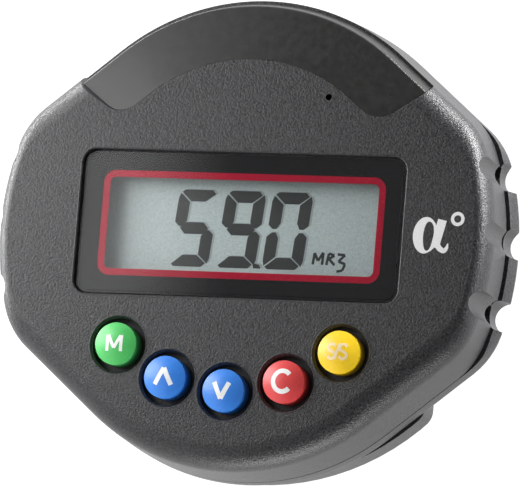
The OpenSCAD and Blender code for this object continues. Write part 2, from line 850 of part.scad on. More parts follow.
module case_screws() {
    color("#8f9193")
    for (p = case_screw_at) translate([p[0], p[1], foot_h + sink]) {
        difference() {
            cylinder(d = case_head_d, h = case_head_t);
            for (a = [0, 90]) rotate(a) translate([-1.3, -0.3, -cut]) cube([2.6, 0.6, cut + 0.8]);
        }
        translate([0, 0, case_head_t])
            cylinder(d = case_screw_d, h = z_board + case_screw_grip - foot_h - case_head_t);
    }
}

module magnets() {
    color("#b9bcc0")
    for (x = [-1, 1], y = magnet_y) translate([x * magnet_x, y, sink]) cylinder(d = magnet_d, h = magnet_t);
}

module coin_cell() {
    step = 0.6;
    color("#c9cbcd")
    translate([0, cap_y, z_cap]) {
        cylinder(d = cell_d, h = cell_t - step);
        translate([0, 0, cell_t - step]) cylinder(d = cell_d - 2.6, h = step);
    }
}

module battery_cap() {
    slot_w = 2;
    color("#2b2b2d")
    translate([0, cap_y, 0]) {
        difference() {
            translate([0, 0, cap_sink]) cylinder(d = cap_d, h = cap_t);
            translate([-cap_d / 3, -slot_w / 2, cap_sink - cut]) cube([2 * cap_d / 3, slot_w, cut + 0.9]);
            translate([0, 0, z_cap - 0.6]) linear_extrude(cut) difference() {
                circle(seal_r + 0.5);
                circle(seal_r - 0.5);
            }
        }
        translate([0, 0, z_cap]) linear_extrude(neck_h) difference() {
            circle(neck_r);
            circle(neck_r - neck_wall);
        }
        translate([0, 0, z_cap + neck_h - lug_t]) linear_extrude(lug_t)
            for (i = [0 : lug_count - 1]) rotate(lug_start + i * 360 / lug_count)
                band_arc(neck_r - neck_wall / 2, neck_r + lug_reach, lug_span);
    }
}

module cap_seal() {
    color("#101012")
    translate([0, cap_y, z_cap + seat_gap - seal_d / 2])
        rotate_extrude() translate([seal_r, 0]) circle(d = seal_d);
}

// A strip of sheet metal of thickness leaf_t along a path, as an outline
function ribbon(path) =
    let (n = len(path),
        dir = [for (i = [0 : n - 2]) (path[i + 1] - path[i]) / norm(path[i + 1] - path[i])],
        side = [for (d = dir) [-d[1], d[0]]],
        at = [for (i = [0 : n - 1])
            let (a = side[max(i - 1, 0)], b = side[min(i, n - 2)]) (a + b) / (1 + a * b)])
    concat([for (i = [0 : n - 1]) path[i] + at[i] * leaf_t / 2],
        [for (i = [n - 1 : -1 : 0]) path[i] - at[i] * leaf_t / 2]);

module leaf(path) {
    translate([0, cap_y + tab_w / 2, 0]) rotate([90, 0, 0]) linear_extrude(tab_w) polygon(ribbon(path));
}

module positive_contact() {
    x = cell_d / 2 + leaf_t / 2;
    color("#c4b27a")
    leaf([[x, z_cap + neck_h + slip], [x, z_under]]);
}

module negative_contact() {
    x = negative_x;
    rise = leaf_t / 2;
    color("#c4b27a")
    leaf([[x, z_under], [x, z_chamber - rise], [x + 5, z_chamber - rise], [x + 9, z_cell + rise + 0.02],
        [x + 11, z_cell + 0.7]]);
}

front_shell();
rear_shell();
signal_window();
signal_leds();
display_lens();
lens_mask();
coloured_line();
display_gasket();
lcd_panel();
lcd_reflector();
lcd_holder();
contact_strips();
main_board();
microcontroller();
gyro_sensor();
sounder();
board_components();
keypad_mat();
key_contacts();
memory_cap();
up_cap();
down_cap();
clear_cap();
start_cap();
memory_plunger();
up_plunger();
down_plunger();
clear_plunger();
start_plunger();
board_screws();
case_screws();
magnets();
coin_cell();
battery_cap();
cap_seal();
positive_contact();
negative_contact();
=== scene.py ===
"""Torque angle gauge: finishes, print, readout and key legends over the solids, with a studio stage."""

import math

import bpy
import numpy as np
from mathutils import Matrix, Vector


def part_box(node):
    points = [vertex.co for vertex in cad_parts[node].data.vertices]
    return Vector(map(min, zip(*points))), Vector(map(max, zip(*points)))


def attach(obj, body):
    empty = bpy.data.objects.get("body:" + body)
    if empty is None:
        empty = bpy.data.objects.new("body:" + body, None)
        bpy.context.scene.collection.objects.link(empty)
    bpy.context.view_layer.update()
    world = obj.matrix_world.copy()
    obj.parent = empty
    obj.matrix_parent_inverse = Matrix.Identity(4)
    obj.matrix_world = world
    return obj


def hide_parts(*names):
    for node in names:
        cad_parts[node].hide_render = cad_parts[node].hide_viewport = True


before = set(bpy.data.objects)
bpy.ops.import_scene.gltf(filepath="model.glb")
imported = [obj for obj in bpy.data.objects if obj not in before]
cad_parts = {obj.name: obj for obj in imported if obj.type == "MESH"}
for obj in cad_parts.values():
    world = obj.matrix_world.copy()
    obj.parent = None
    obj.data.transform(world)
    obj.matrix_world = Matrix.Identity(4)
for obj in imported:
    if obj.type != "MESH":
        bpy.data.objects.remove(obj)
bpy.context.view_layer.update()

bl_info = {
    "name": "Torque Angle Gauge",
    "version": (1, 0, 0),
    "blender": (4, 5, 0),
    "location": "View3D > Sidebar > Gauge",
    "description": "Dresses a torque angle gauge: shells, signal window, display, keys and print",
    "category": "Add Mesh",
}

MM = 0.001
# Height of printed ink above what it lies on
INK = 0.02 * MM
# Levels of the flat face and of the display glass
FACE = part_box("front_shell")[1].z
READOUT_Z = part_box("lcd_panel")[1].z
# The window's print, and its middle
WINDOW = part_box("lens_mask")
MIDDLE = np.array([(WINDOW[0].x + WINDOW[1].x) / 2, (WINDOW[0].y + WINDOW[1].y) / 2])
# The keys from left to right, each with its slot in the record
KEY_SLOTS = {
    "memory": "green_key",
    "up": "blue_key",
    "down": "blue_key",
    "clear": "red_key",
    "start": "yellow_key",
}
KEY_NAMES = tuple(KEY_SLOTS)


def linear(code):
    """Turns an sRGB hex code into linear red, green and blue."""
    parts = [int(code[i:i + 2], 16) / 255 for i in (1, 3, 5)]
    return tuple(p / 12.92 if p <= 0.04045 else ((p + 0.055) / 1.055) ** 2.4 for p in parts)


class GaugeColours(bpy.types.PropertyGroup):
    """Colours of the moulded pieces, the keys and the print."""

    case: bpy.props.FloatVectorProperty(
        name="Case", description="Grained plastic of both shells",
        default=linear("#2b2b2d"), subtype="COLOR", size=3)
    crescent: bpy.props.FloatVectorProperty(
        name="Signal window", description="Smoked plastic of the crescent",
        default=linear("#212120"), subtype="COLOR", size=3)
    print_black: bpy.props.FloatVectorProperty(
        name="Lens print", description="Black print behind the lens",
        default=linear("#101012"), subtype="COLOR", size=3)
    print_red: bpy.props.FloatVectorProperty(
        name="Line", description="Red line round the view",
        default=linear("#920424"), subtype="COLOR", size=3)
    display: bpy.props.FloatVectorProperty(
        name="Display", description="Grey-green ground of the display",
        default=linear("#9ca5a4"), subtype="COLOR", size=3)
    segment: bpy.props.FloatVectorProperty(
        name="Segments", description="Dark segments of the readout",
        default=linear("#1c1c1c"), subtype="COLOR", size=3)
    memory: bpy.props.FloatVectorProperty(
        name="Memory key", description="Cap of the memory key",
        default=linear("#50c063"), subtype="COLOR", size=3)
    up: bpy.props.FloatVectorProperty(
        name="Up key", description="Cap of the up key",
        default=linear("#3582e2"), subtype="COLOR", size=3)
    down: bpy.props.FloatVectorProperty(
        name="Down key", description="Cap of the down key",
        default=linear("#3582e2"), subtype="COLOR", size=3)
    clear: bpy.props.FloatVectorProperty(
        name="Clear key", description="Cap of the clear key",
        default=linear("#e24749"), subtype="COLOR", size=3)
    start: bpy.props.FloatVectorProperty(
        name="Start key", description="Cap of the start and stop key",
        default=linear("#ffd520"), subtype="COLOR", size=3)


class GaugeSizes(bpy.types.PropertyGroup):
    """Sizes of the grain, the readout and the print."""

    grain: bpy.props.FloatProperty(
        name="Grain", description="Width of a grain of the spark-eroded finish",
        default=0.19 * MM, unit="LENGTH")
    digit_height: bpy.props.FloatProperty(
        name="Digit height", description="Height of the readout's digits",
        default=12.1 * MM, unit="LENGTH")
    digit_width: bpy.props.FloatProperty(
        name="Digit width", description="Width of a digit across its segments",
        default=6.5 * MM, unit="LENGTH")
    digit_pitch: bpy.props.FloatProperty(
        name="Digit pitch", description="Distance from one digit to the next",
        default=7.6 * MM, unit="LENGTH")
    segment: bpy.props.FloatProperty(
        name="Segment width", description="Width of a segment",
        default=1.85 * MM, unit="LENGTH")
    slant: bpy.props.FloatProperty(
        name="Slant", description="Lean of the digits", default=math.radians(5), subtype="ANGLE")
    legend: bpy.props.FloatProperty(
        name="Legend line", description="Line width of the key legends",
        default=0.72 * MM, unit="LENGTH")


class GaugeLight(bpy.types.PropertyGroup):
    """Lamps and surroundings."""

    key: bpy.props.FloatProperty(
        name="Key lamp", description="Power of the close lamp at the left",
        default=0.26, unit="POWER")
    side: bpy.props.FloatProperty(
        name="Side lamp", description="Power of the lamp at the right, lower than the face",
        default=1.1, unit="POWER")
    front: bpy.props.FloatProperty(
        name="Front lamp", description="Power of the lamp below the keys, lower than the face",
        default=0.35, unit="POWER")
    rim: bpy.props.FloatProperty(
        name="Rim lamp", description="Power of the lamp at the left, lower than the face",
        default=0.5, unit="POWER")
    back: bpy.props.FloatProperty(
        name="Back lamp", description="Power of the lamp under the foot, which lights only the back",
        default=0.5, unit="POWER")
    surround: bpy.props.FloatProperty(
        name="Surround", description="Strength of the white room", default=0.3)


# Mesh and node helpers

# Noise of scale 1 has features this wide, and most of its values lie between the low and the high one
NOISE_CELL = 0.7
NOISE_LOW = 0.3
NOISE_HIGH = 0.7
# Scratches in metal are this part as dense along y as across it
DRAWN = 0.08
# Width of the faint haze in the lens
HAZE = 6 * MM
# Faces are in one plane if their normals and distances from the origin agree to these steps
NORMAL_STEP = 1 / 300
PLANE_STEP = 0.02 * MM
# Corners of a CAD solid that lie this close are one point
MERGE = 0.002 * MM
# Sides of a lip's round section
LIP_SIDES = 12


def node(tree, kind, inputs=None, **settings):
    """Adds one node: settings go to its properties, and each input gets a value or a link."""
    made = tree.nodes.new(kind)
    for key, value in settings.items():
        setattr(made, key, value)
    for key, value in (inputs or {}).items():
        if isinstance(value, bpy.types.NodeSocket):
            tree.links.new(value, made.inputs[key])
        else:
            made.inputs[key].default_value = value
    return made


def start_material(name):
    """An empty material with its output node."""
    material = bpy.data.materials.new(name)
    material.use_nodes = True
    tree = material.node_tree
    tree.nodes.clear()
    return material, tree, node(tree, "ShaderNodeOutputMaterial")


def moulded(name, colour, grain, depth, rough, vary=0.1, ior=1.54, sheen_vary=0.06, mirror=0.5):
    """A moulded plastic, rubber or print with a fine grain.

    The grain is noise whose cells are grain wide. It lifts the surface by depth, shifts the colour by
    vary and the roughness by sheen_vary, so that the eye sees a sparkle and not a flat tone. mirror is
    the strength of the gloss: a print that is bonded to a pane has none of its own.
    """
    material, tree, out = start_material(name)
    where = node(tree, "ShaderNodeTexCoord")
    fine = node(tree, "ShaderNodeTexNoise", {
        "Vector": where.outputs["Object"], "Scale": NOISE_CELL / grain, "Detail": 2.0, "Roughness": 0.6})
    spread = node(tree, "ShaderNodeMapRange", {
        "Value": fine.outputs["Fac"], "From Min": NOISE_LOW, "From Max": NOISE_HIGH,
        "To Min": 1 - vary, "To Max": 1 + vary})
    tone = node(tree, "ShaderNodeVectorMath", {
        0: tuple(colour), 3: spread.outputs["Result"]}, operation="SCALE")
    shine = node(tree, "ShaderNodeMapRange", {
        "Value": fine.outputs["Fac"], "From Min": NOISE_LOW, "From Max": NOISE_HIGH,
        "To Min": rough - sheen_vary, "To Max": rough + sheen_vary})
    lift = node(tree, "ShaderNodeBump", {
        "Height": fine.outputs["Fac"], "Distance": depth, "Strength": 1.0})
    shader = node(tree, "ShaderNodeBsdfPrincipled", {
        "Base Color": tone.outputs["Vector"], "Roughness": shine.outputs["Result"], "IOR": ior,
        "Specular IOR Level": mirror, "Normal": lift.outputs["Normal"]})
    tree.links.new(shader.outputs["BSDF"], out.inputs["Surface"])
    return material


def metal(name, colour, rough, scratch, depth):
    """A plated or drawn metal: fine lines, scratch wide, run one way and break up the reflection."""
    material, tree, out = start_material(name)
    where = node(tree, "ShaderNodeTexCoord")
    drawn = node(tree, "ShaderNodeMapping", {
        "Vector": where.outputs["Object"], "Scale": (1.0, DRAWN, 1.0)})
    lines = node(tree, "ShaderNodeTexNoise", {
        "Vector": drawn.outputs["Vector"], "Scale": NOISE_CELL / scratch, "Detail": 3.0})
    shine = node(tree, "ShaderNodeMapRange", {
        "Value": lines.outputs["Fac"], "To Min": rough * 0.7, "To Max": rough * 1.4})
    lift = node(tree, "ShaderNodeBump", {
        "Height": lines.outputs["Fac"], "Distance": depth, "Strength": 0.5})
    shader = node(tree, "ShaderNodeBsdfPrincipled", {
        "Base Color": (*colour, 1), "Metallic": 1.0, "Roughness": shine.outputs["Result"],
        "Normal": lift.outputs["Normal"]})
    tree.links.new(shader.outputs["BSDF"], out.inputs["Surface"])
    return material


def clear_acrylic(name):
    """Cast acrylic, polished: it bends and mirrors as a pane does, and lets the lamps reach the display.

    A faint haze, a few millimetres wide, shifts the roughness, as on a pane that has been wiped.
    """
    material, tree, out = start_material(name)
    where = node(tree, "ShaderNodeTexCoord")
    haze = node(tree, "ShaderNodeTexNoise", {
        "Vector": where.outputs["Object"], "Scale": NOISE_CELL / HAZE, "Detail": 1.0})
    shine = node(tree, "ShaderNodeMapRange", {
        "Value": haze.outputs["Fac"], "To Min": 0.01, "To Max": 0.05})
    pane = node(tree, "ShaderNodeBsdfPrincipled", {
        "Base Color": (0.96, 0.98, 0.98, 1), "IOR": 1.49, "Transmission Weight": 1.0,
        "Roughness": shine.outputs["Result"]})
    through = node(tree, "ShaderNodeBsdfTransparent", {"Color": (0.95, 0.97, 0.97, 1)})
    rays = node(tree, "ShaderNodeLightPath")
    both = node(tree, "ShaderNodeMixShader", {
        0: rays.outputs["Is Shadow Ray"], 1: pane.outputs["BSDF"], 2: through.outputs["BSDF"]})
    tree.links.new(both.outputs["Shader"], out.inputs["Surface"])
    return material


def fill_mesh(name, points, corners, totals):
    """A mesh object from its points, the point numbers of all faces in a row, and the faces' counts."""
    faces = np.split(np.asarray(corners), np.cumsum(totals)[:-1])
    mesh = bpy.data.meshes.new(name)
    mesh.from_pydata(np.asarray(points, float).reshape(-1, 3), [], [face.tolist() for face in faces])
    mesh.validate()
    made = bpy.data.objects.new(name, mesh)
    bpy.context.scene.collection.objects.link(made)
    return made


def read_array(items, key, width, kind=float):
    """One value of every item of a mesh as a whole array."""
    values = np.empty(len(items) * width, kind)
    items.foreach_get(key, values)
    return values.reshape(-1, width) if width > 1 else values


def even_normals(mesh, angle):
    """Smooth normals that leave flat regions flat.

    Each corner takes the mean of the faces round its point that lean less than angle from its own
    face, and each face weighs as much as the area of the whole plane region that it belongs to.
    """
    normals = read_array(mesh.polygons, "normal", 3)
    middles = read_array(mesh.polygons, "center", 3)
    areas = read_array(mesh.polygons, "area", 1)
    face = np.repeat(np.arange(len(areas)), read_array(mesh.polygons, "loop_total", 1, int))
    point = read_array(mesh.loops, "vertex_index", 1, int)
    reach = np.sum(normals * middles, 1)
    plane = np.round(np.column_stack([normals / NORMAL_STEP, reach / PLANE_STEP])).astype(int)
    region = np.unique(plane, axis=0, return_inverse=True)[1].ravel()
    weight = np.bincount(region, areas)[region]
    order = np.argsort(point, kind="stable")
    count = np.bincount(point)
    start = np.cumsum(count) - count
    many = count[point]
    corner = np.repeat(np.arange(len(point)), many)
    within = np.arange(len(corner)) - np.repeat(np.cumsum(many) - many, many)
    other = face[order[start[point[corner]] + within]]
    near = np.sum(normals[face[corner]] * normals[other], 1) > math.cos(angle)
    total = np.zeros((len(point), 3))
    np.add.at(total, corner[near], weight[other[near], None] * normals[other[near]])
    mesh.shade_smooth()
    mesh.normals_split_custom_set((total / np.linalg.norm(total, axis=1)[:, None]).tolist())


def finished_copy(node_name, name, angle=32, reshape=None):
    """A copy of a CAD solid with its corners merged, and smooth up to the angle in degrees.

    reshape may shift the merged points, all in one array, before the normals are worked out.
    """
    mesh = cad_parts[node_name].data.copy()
    made = bpy.data.objects.new(name, mesh)
    bpy.context.scene.collection.objects.link(made)
    merge = made.modifiers.new("merge", "WELD")
    merge.merge_threshold = MERGE
    graph = bpy.context.evaluated_depsgraph_get()
    made.data = bpy.data.meshes.new_from_object(made.evaluated_get(graph))
    made.modifiers.clear()
    bpy.data.meshes.remove(mesh)
    made.data.name = name
    if reshape:
        points = reshape(read_array(made.data.vertices, "co", 3))
        made.data.vertices.foreach_set("co", points.ravel())
        made.data.update()
    even_normals(made.data, math.radians(angle))
    return made


def square_to(path, closed):
    """Unit vectors square to a path: at each point the line between its neighbours, turned a quarter."""
    ahead = np.roll(path, -1, 0) - np.roll(path, 1, 0) if closed else np.gradient(path, axis=0)
    return np.stack([-ahead[:, 1], ahead[:, 0]], 1) / np.linalg.norm(ahead, axis=1)[:, None]


def stroke(path, width, ground, lift, closed=False):
    """A line of ink along a path.

    At each point of the path the profile is a flat box, width wide and square to the path, with
    its top lift above ground(x, y) and its bottom as far below.
    """
    path = np.asarray(path, float)
    count = len(path)
    half = np.broadcast_to(np.asarray(width, float), (count,))[:, None] / 2
    side = square_to(path, closed) * half
    edges = np.stack([path + side, path - side], 1)[:, [0, 1, 1, 0]]
    level = ground(edges[..., 0], edges[..., 1]) + lift * np.array([-1, -1, 1, 1])
    points = np.concatenate([edges, level[..., None]], 2).reshape(-1, 3)
    steps = np.arange(count if closed else count - 1)[:, None]
    corner = np.arange(4)[None, :]
    beside = (corner + 1) % 4
    here = steps * 4
    after = (steps + 1) % count * 4
    quads = np.stack([here + corner, here + beside, after + beside, after + corner], 2).reshape(-1, 4)
    if not closed:
        first = np.arange(4)
        quads = np.concatenate([quads, [first[::-1], 4 * count - 4 + first]])
    return points, quads.ravel(), np.full(len(quads), 4)


def bead(path, radius, level):
    """A round lip along a closed path: at each point a circle about level, square to the path."""
    path = np.asarray(path, float)
    count = len(path)
    turn = full_turn(LIP_SIDES)
    flat = path[:, None, :] + square_to(path, True)[:, None, :] * (radius * np.cos(turn))[None, :, None]
    high = np.broadcast_to(level + radius * np.sin(turn), (count, LIP_SIDES))
    points = np.concatenate([flat, high[..., None]], 2).reshape(-1, 3)
    i, j = np.meshgrid(np.arange(count), np.arange(LIP_SIDES), indexing="ij")
    here = i * LIP_SIDES
    after = (i + 1) % count * LIP_SIDES
    beside = (j + 1) % LIP_SIDES
    quads = np.stack([here + j, after + j, after + beside, here + beside], -1).reshape(-1, 4)
    return points, quads.ravel(), np.full(len(quads), 4)


def full_turn(count):
    """Angles at even steps round a circle."""
    return 2 * math.pi * np.arange(count) / count


def oval(middle, half, turn):
    """An ellipse: its middle plus half its width times the cosine and half its height times the sine."""
    return np.column_stack([middle[0] + half[0] * np.cos(turn), middle[1] + half[1] * np.sin(turn)])


def straight(start, end, count=9):
    """Points at even steps along a straight line."""
    return np.linspace(start, end, count)


def flat_ground(level):
    """The ground of a stroke on a flat face: one level everywhere."""
    return lambda x, y: np.full(np.shape(x), level)


def rounded_path(half_w, half_h, radius, steps=8):
    """A rounded rectangle about the origin, counterclockwise: four quarter circles joined by lines."""
    turn = np.radians(np.linspace(0, 90, steps + 1))
    quarter = oval((half_w - radius, half_h - radius), (radius, radius), turn)
    other = (quarter * [-1, 1])[::-1]
    return np.concatenate([quarter, other, -quarter, -other])


def plate(outline, bottom, top):
    """A flat plate: the outline, given counterclockwise, as a bottom face, a top face and walls."""
    outline = np.asarray(outline, float)
    count = len(outline)
    low = np.column_stack([outline, np.full(count, bottom)])
    high = np.column_stack([outline, np.full(count, top)])
    i = np.arange(count)
    j = (i + 1) % count
    walls = np.stack([i, j, j + count, i + count], 1)
    corners = np.concatenate([i[::-1], i + count, walls.ravel()])
    return np.concatenate([low, high]), corners, np.repeat([count, 4], [2, count])


def joined(parts):
    """Several sets of points, face corners and counts as one: each set's numbers follow the last's."""
    points, corners, totals = zip(*parts)
    counts = [len(some) for some in points]
    starts = np.cumsum(counts) - counts
    shifted = np.concatenate(corners) + np.repeat(starts, [len(some) for some in corners])
    return np.concatenate(points), shifted, np.concatenate(totals)


def dome_of(name):
    """A key cap's middle, and the height of its dome over x and y: a sphere of radius CROWN."""
    low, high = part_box(name + "_cap")
    middle = np.array(((low + high) / 2).xy)

    def height(x, y):
        return high.z - CROWN + np.sqrt(CROWN ** 2 - (x - middle[0]) ** 2 - (y - middle[1]) ** 2)

    return middle, height


def paint(made, material, body, slot, *nodes):
    """Gives a piece its material and its body, and hides the nodes that it stands for. slot is not used.
    """
    made.data.materials.clear()
    made.data.materials.append(material)
    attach(made, body)
    if nodes:
        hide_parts(*nodes)


def paint_nodes(material, *names):
    """Gives CAD nodes that stay in view a material."""
    for name in names:
        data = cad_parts[name].data
        data.materials.clear()
        data.materials.append(material)


def bezier(points, count=24):
    """Points along a smooth line through the given ones.

    Each piece is a cubic whose slope at a point is that of the line between the point's neighbours.
    """
    p = np.asarray(points, float)
    p = np.concatenate([[2 * p[0] - p[1]], p, [2 * p[-1] - p[-2]]])
    t = np.linspace(0, len(p) - 3 - 1e-9, count)
    k = t.astype(int)
    f = (t - k)[:, None]
    a, b, c, d = p[k], p[k + 1], p[k + 2], p[k + 3]
    bend = (2 * a - 5 * b + 4 * c - d) * f ** 2
    twist = (3 * b - a - 3 * c + d) * f ** 3
    return 0.5 * (2 * b + (c - a) * f + bend + twist)


# Pieces

# The seam between the shells: its level, the gap under it, and the shadow groove as cut and as shown
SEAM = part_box("front_shell")[0].z
SEAM_GAP = 0.3 * MM
GROOVE = 1.1 * MM
GROOVE_SEEN = 0.65 * MM
# The rear wall's lean along the grips: how far, from which height up, and where across it sets in
RIM_TUCK = 0.5 * MM
TUCK_FOOT = 6.4 * MM
TUCK_START = 37.2 * MM
TUCK_FADE = 1.6 * MM
# Heights on the face of the notches in each grip, and half the width of one
NOTCHES = (11.8 * MM, 1.4 * MM, -9.9 * MM)
NOTCH_HALF = 2.3 * MM
# The window's edge: its distance from the print and its corner radius
WINDOW_GAP = 0.5 * MM
WINDOW_CORNER = 2.4 * MM
# Radius of the lips round the window and the key wells, and how far below the face their middle lies
LIP = 0.25 * MM
LIP_SUNK = 0.9 * LIP
WELL_STEPS = 64


class GAUGE_OT_shells(bpy.types.Operator):
    """Both shells: spark-eroded ABS, smooth over the skin, with fine lips round window and wells"""

    bl_idname = "gauge.shells"
    bl_label = "Case shells"

    def execute(self, context):
        colours = context.scene.gauge_colours
        grain = context.scene.gauge_sizes.grain
        # ABS moulded in a spark-eroded tool: dark, half matt, with a fine sparkle all over. The grain is
        # drawn coarser than the real one, so that it shows in the render.
        abs_grain = moulded(
            "spark_eroded_abs", colours.case,
            grain=grain, depth=0.085 * MM, rough=0.38, vary=1.0, mirror=0.42)
        front = finished_copy("front_shell", "front_case", reshape=self.narrow_groove)
        paint(front, abs_grain, "case", "shell", "front_shell")
        rear = finished_copy("rear_shell", "rear_case", reshape=self.tuck_rim)
        paint(rear, abs_grain, "case", "rear_plastic", "rear_shell")
        half = (np.array(WINDOW[1].xy) - np.array(WINDOW[0].xy)) / 2 + WINDOW_GAP
        edges = [self.well_edge(name) for name in KEY_NAMES]
        edges.insert(0, rounded_path(*half, WINDOW_CORNER) + MIDDLE)
        lips = joined([bead(path, LIP, FACE - LIP_SUNK) for path in edges])
        paint(fill_mesh("face_lips", *lips), abs_grain, "case", "shell")
        return {"FINISHED"}

    def narrow_groove(self, points):
        """Lowers the ceiling of the shadow groove, so that the seam reads as a thin line."""
        ceiling = np.abs(points[:, 2] - SEAM - GROOVE) < INK
        points[ceiling, 2] = SEAM + GROOVE_SEEN
        return points

    def tuck_rim(self, points):
        """Leans the rear shell's wall in towards its rim along the grips.

        The tuck grows with the height up the wall and with the distance from the middle plane, and
        falls to nothing in the notches.
        """
        rise = np.clip((points[:, 2] - TUCK_FOOT) / (SEAM - SEAM_GAP - TUCK_FOOT), 0, 1)
        share = np.clip((np.abs(points[:, 0]) - TUCK_START) / TUCK_FADE, 0, 1)
        apart = np.abs(points[:, 1, None] - np.array(NOTCHES)).min(1)
        share *= np.clip(apart / NOTCH_HALF, 0, 1) ** 2
        points[:, 0] -= np.sign(points[:, 0]) * RIM_TUCK * share * rise
        return points

    def well_edge(self, name):
        """A circle along the edge of a key's well, as near to the key's middle as the face comes."""
        middle = dome_of(name)[0]
        points = read_array(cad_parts["front_shell"].data.vertices, "co", 3)
        away = np.linalg.norm(points[points[:, 2] > FACE - INK, :2] - middle, axis=1).min()
        return oval(middle, (away, away), full_turn(WELL_STEPS))


class GAUGE_OT_signal_window(bpy.types.Operator):
    """The smooth crescent along the top edge, and the lights under it"""

    bl_idname = "gauge.signal_window"
    bl_label = "Signal window"

    def execute(self, context):
        colours = context.scene.gauge_colours
        # Smoked polycarbonate, moulded smooth: darker and calmer than the grained shell.
        smoked = moulded(
            "smoked_polycarbonate", colours.crescent,
            grain=0.8 * MM, depth=0.001 * MM, rough=0.34, vary=0.05, ior=1.58, mirror=0.37)
        crescent = finished_copy("signal_window", "crescent")
        paint(crescent, smoked, "case", "smoked_window", "signal_window")
        # Cast epoxy of the lights: pale, smooth and shiny.
        epoxy = moulded(
            "led_epoxy", linear("#e6e2c4"),
            grain=0.4 * MM, depth=0.001 * MM, rough=0.2)
        paint_nodes(epoxy, "signal_leds")
        return {"FINISHED"}


class GAUGE_OT_display(bpy.types.Operator):
    """Lens, its print, the display glass and what holds it"""

    bl_idname = "gauge.display"
    bl_label = "Display"

    def execute(self, context):
        colours = context.scene.gauge_colours
        lens = finished_copy("display_lens", "lens", reshape=self.lift_back)
        paint(lens, clear_acrylic("polished_acrylic"), "case", "lens", "display_lens")
        # Screen print seen through the lens: even and dark, or a strong red.
        black = moulded(
            "black_screen_print", colours.print_black,
            grain=0.2 * MM, depth=0.001 * MM, rough=0.6, mirror=0)
        paint_nodes(black, "lens_mask")
        red = moulded(
            "red_screen_print", colours.print_red,
            grain=0.2 * MM, depth=0.001 * MM, rough=0.6, vary=0.04, mirror=0)
        paint_nodes(red, "coloured_line")
        # Reflective display: grey-green, with the fine speckle of its diffuser.
        ground = moulded(
            "reflective_display", colours.display,
            grain=0.2 * MM, depth=0.002 * MM, rough=0.35, vary=0.14)
        paint_nodes(ground, "lcd_panel")
        # Die-cut foam: black, open and quite matt.
        foam = moulded(
            "polyurethane_foam", linear("#242426"),
            grain=0.3 * MM, depth=0.04 * MM, rough=0.9)
        paint_nodes(foam, "display_gasket")
        # Diffuser film: milky white and even.
        film = moulded(
            "diffuser_film", linear("#e4e6df"),
            grain=0.3 * MM, depth=0.002 * MM, rough=0.5)
        paint_nodes(film, "lcd_reflector")
        # Moulded ABS, not coloured: off-white with a dull shine.
        holder = moulded(
            "white_abs", linear("#d8d8d2"),
            grain=0.3 * MM, depth=0.005 * MM, rough=0.5)
        paint_nodes(holder, "lcd_holder")
        # Contact rubber in thin conducting and plain layers: dusky pink, with dark and light specks.
        layered = moulded(
            "layered_elastomer", linear("#8a5f6e"),
            grain=0.1 * MM, depth=0.005 * MM, rough=0.7, vary=0.4)
        paint_nodes(layered, "contact_strips")
        return {"FINISHED"}

    def lift_back(self, points):
        """Lifts the lens's back off the print by the height of ink, so that the two faces don't meet."""
        points[points[:, 2] < WINDOW[1].z + INK, 2] += INK
        return points


# The number shown, and the lit segments of its figures
NUMBER = "590"
SEGMENTS = {"5": "afgcd", "9": "abcdfg", "0": "abcdef"}
# In millimetres from the window's middle: the number's middle, its point, and the memory sign's lines
NUMBER_AT = (-0.95, -0.03)
POINT = [[1.55, -6.0], [2.75, -6.05], [2.5, -5.45], [1.35, -5.2]]
MEMORY_SIGN = [
    [[11.1, -5.1], [11.3, -3.3], [11.9, -4.5], [12.7, -3.2], [12.6, -5.1]],
    [[13.3, -5.1], [13.6, -3.3], [14.5, -3.6], [13.6, -4.2]],
    [[13.7, -4.2], [14.6, -5.1]],
    [[15.0, -3.4], [16.2, -3.5], [15.2, -4.5], [16.3, -4.9], [15.9, -5.9], [15.0, -6.1]],
]
SIGN_LINE = 0.42 * MM
# Where the segments' shadow falls beside them
SHADE_SHIFT = np.array([0.35, 0.12]) * MM


def digit_segments(width, height, bar):
    """The seven segments of a digit as outlines about its middle.

    The top bar, the upper left bar and the middle bar are drawn, with their cut corners as parts of
    the bar's width, and the others are their mirror images across the digit's two middle lines.
    """
    w = width / 2
    h = height / 2
    gap = 0.14 * bar
    top = np.array([
        [-w + bar + gap, h - bar], [w - bar - gap, h - bar], [w - 0.3 * bar, h - 0.34 * bar],
        [w - 0.62 * bar, h], [-w + 0.5 * bar, h], [-w + 0.24 * bar, h - 0.2 * bar]])
    left = np.array([
        [-w, h - 0.75 * bar], [-w, 0.5 * bar], [-w + 0.4 * bar, gap], [-w + 0.75 * bar, gap],
        [-w + 1.04 * bar, 0.5 * bar + gap], [-w + 1.04 * bar, h - 1.06 * bar],
        [-w + 0.14 * bar, h - 0.3 * bar]])
    middle = np.array([
        [-w + 0.5 * bar, 0], [-w + bar, -0.5 * bar], [w - bar, -0.5 * bar],
        [w - 0.5 * bar, 0], [w - bar, 0.5 * bar], [-w + bar, 0.5 * bar]])
    across = np.array([-1, 1])
    down = np.array([1, -1])
    return {
        "a": top, "b": (left * across)[::-1], "c": left * across * down, "d": (top * down)[::-1],
        "e": (left * down)[::-1], "f": left, "g": middle}


